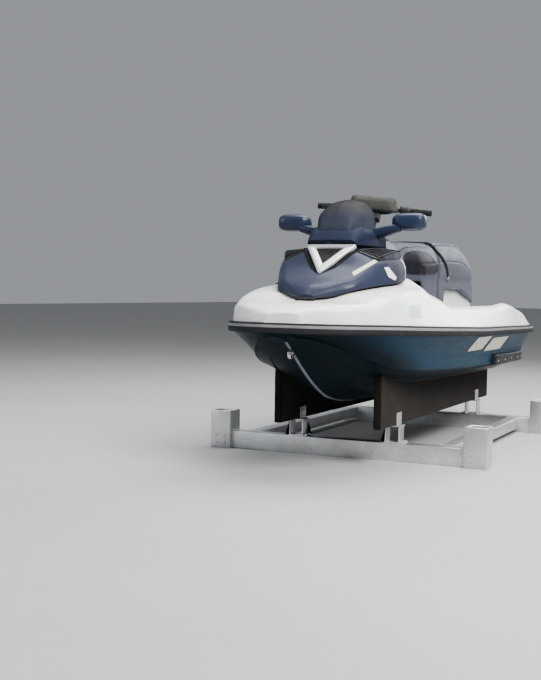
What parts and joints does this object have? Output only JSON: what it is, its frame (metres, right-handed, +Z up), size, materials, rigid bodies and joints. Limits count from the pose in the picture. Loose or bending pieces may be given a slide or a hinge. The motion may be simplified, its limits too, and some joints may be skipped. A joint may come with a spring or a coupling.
{
  "type": "personal watercraft on a lift cradle",
  "caption": "Seated jet-drive personal watercraft with hinged hood, steering bars, lift-off seats, reverse gate and boarding step, standing on the bunk cradle of a boat lift.",
  "frame": {"origin": "centre of the bounding box on the floor under the cradle", "axes": "+X to port, -Y to the bow, +Y to the stern, +Z up"},
  "size_m": [1.66, 3.31, 1.5129],
  "materials": {
    "hull_gelcoat": "gloss dark blue gelcoat",
    "deck_gelcoat": "gloss white gelcoat",
    "hood_paint": "gloss grey-blue",
    "cowl_paint": "gloss grey-blue",
    "mirror_paint": "gloss blue",
    "bumper_rubber": "matt black moulded bumper",
    "silver_trim": "silver painted trim",
    "black_plastic": "grained black plastic",
    "grey_plastic": "grained grey plastic",
    "smoked_screen": "smoked acrylic",
    "mirror_glass": "mirror",
    "seat_vinyl": "marine vinyl",
    "mat_foam": "ribbed foam rubber",
    "strap_webbing": "woven webbing",
    "grip_rubber": "ribbed rubber",
    "cast_alloy": "cast alloy, painted grey",
    "stainless": "stainless steel",
    "aluminium": "mill-finish aluminium",
    "bunk_carpet": "dark brown outdoor carpet over timber",
    "engine_block": "plain block"
  },
  "bodies": {
    "root": {"hull": "hull_gelcoat", "deck": "deck_gelcoat", "rub_rail": "bumper_rubber", "storage_bin": "black_plastic", "console": "grey_plastic", "gauge_panel": "black_plastic", "steering_column": "black_plastic", "shift_lever": "black_plastic", "grab_handle": "black_plastic", "footwell_mats": "mat_foam", "platform_mat": "mat_foam", "sponsons": "black_plastic", "fuel_cap": "black_plastic", "jet_pump": "cast_alloy", "ride_plate": "cast_alloy", "intake_grate": "cast_alloy", "step_hinge": "stainless", "bow_eye": "stainless", "stern_eyes": "stainless", "hood_hinge": "stainless", "engine": "engine_block", "bunk_boards": "bunk_carpet", "cradle_beams": "aluminium", "post_sleeves": "aluminium", "bunk_brackets": "aluminium"},
    "hood": {"front_hood": "hood_paint", "hood_cowl": "cowl_paint", "hood_vents": "black_plastic", "grille_bezel": "silver_trim", "grille_mesh": "black_plastic", "windshield": "smoked_screen", "left_mirror": "mirror_paint", "right_mirror": "mirror_paint", "mirror_glass": "mirror_glass"},
    "steering": {"handlebar": "black_plastic", "handlebar_pad": "grey_plastic", "hand_grips": "grip_rubber", "switch_box": "black_plastic", "throttle_lever": "black_plastic"},
    "front_seat": {"driver_seat": "seat_vinyl", "driver_seat_base": "black_plastic"},
    "rear_seat": {"passenger_seat": "seat_vinyl", "passenger_seat_base": "black_plastic", "seat_strap": "strap_webbing"},
    "glove_lid": {"glove_box_lid": "grey_plastic"},
    "impeller": {"impeller": "stainless"},
    "nozzle": {"steering_nozzle": "cast_alloy"},
    "gate": {"reverse_gate": "cast_alloy"},
    "step": {"boarding_step": "stainless"}
  },
  "joints": [
    {"name": "hood_hinge", "type": "hinge", "parent": "root", "child": "hood", "pos_m": [0, -1.373, 0.896], "axis": [1, 0, 0], "range_deg": [0, 55]},
    {"name": "steering_turn", "type": "hinge", "parent": "root", "child": "steering", "pos_m": [0, -0.36, 1.42], "axis": [0, 0.454, 0.891], "range_deg": [-31, 13]},
    {"name": "nozzle_steer", "type": "hinge", "parent": "root", "child": "nozzle", "pos_m": [0, 1.477, 0.455], "axis": [0, 0, 1], "range_deg": [-11.9, 28.1]},
    {"name": "reverse_gate_tilt", "type": "hinge", "parent": "root", "child": "gate", "pos_m": [0, 1.495, 0.475], "axis": [1, 0, 0], "range_deg": [-78, 0]},
    {"name": "impeller_spin", "type": "hinge", "parent": "root", "child": "impeller", "pos_m": [0, 1.245, 0.455], "axis": [0, 1, 0], "continuous": true},
    {"name": "front_seat_lift", "type": "slide", "parent": "root", "child": "front_seat", "axis": [0, 0, 1], "range_m": [0, 0.3]},
    {"name": "rear_seat_lift", "type": "slide", "parent": "root", "child": "rear_seat", "axis": [0, 0, 1], "range_m": [0, 0.32]},
    {"name": "glove_box_hinge", "type": "hinge", "parent": "root", "child": "glove_lid", "pos_m": [0, -0.35, 1.205], "axis": [1, 0, 0], "range_deg": [0, 50]},
    {"name": "boarding_step_hinge", "type": "hinge", "parent": "root", "child": "step", "pos_m": [0.305, 1.597, 0.472], "axis": [1, 0, 0], "range_deg": [-150, 0], "stiffness_Nm_per_rad": 1.2, "springref_deg": 34.38}
  ],
  "couplings": [
    {"joint": "nozzle_steer", "follows": "steering_turn", "ratio": -0.9}
  ]
}
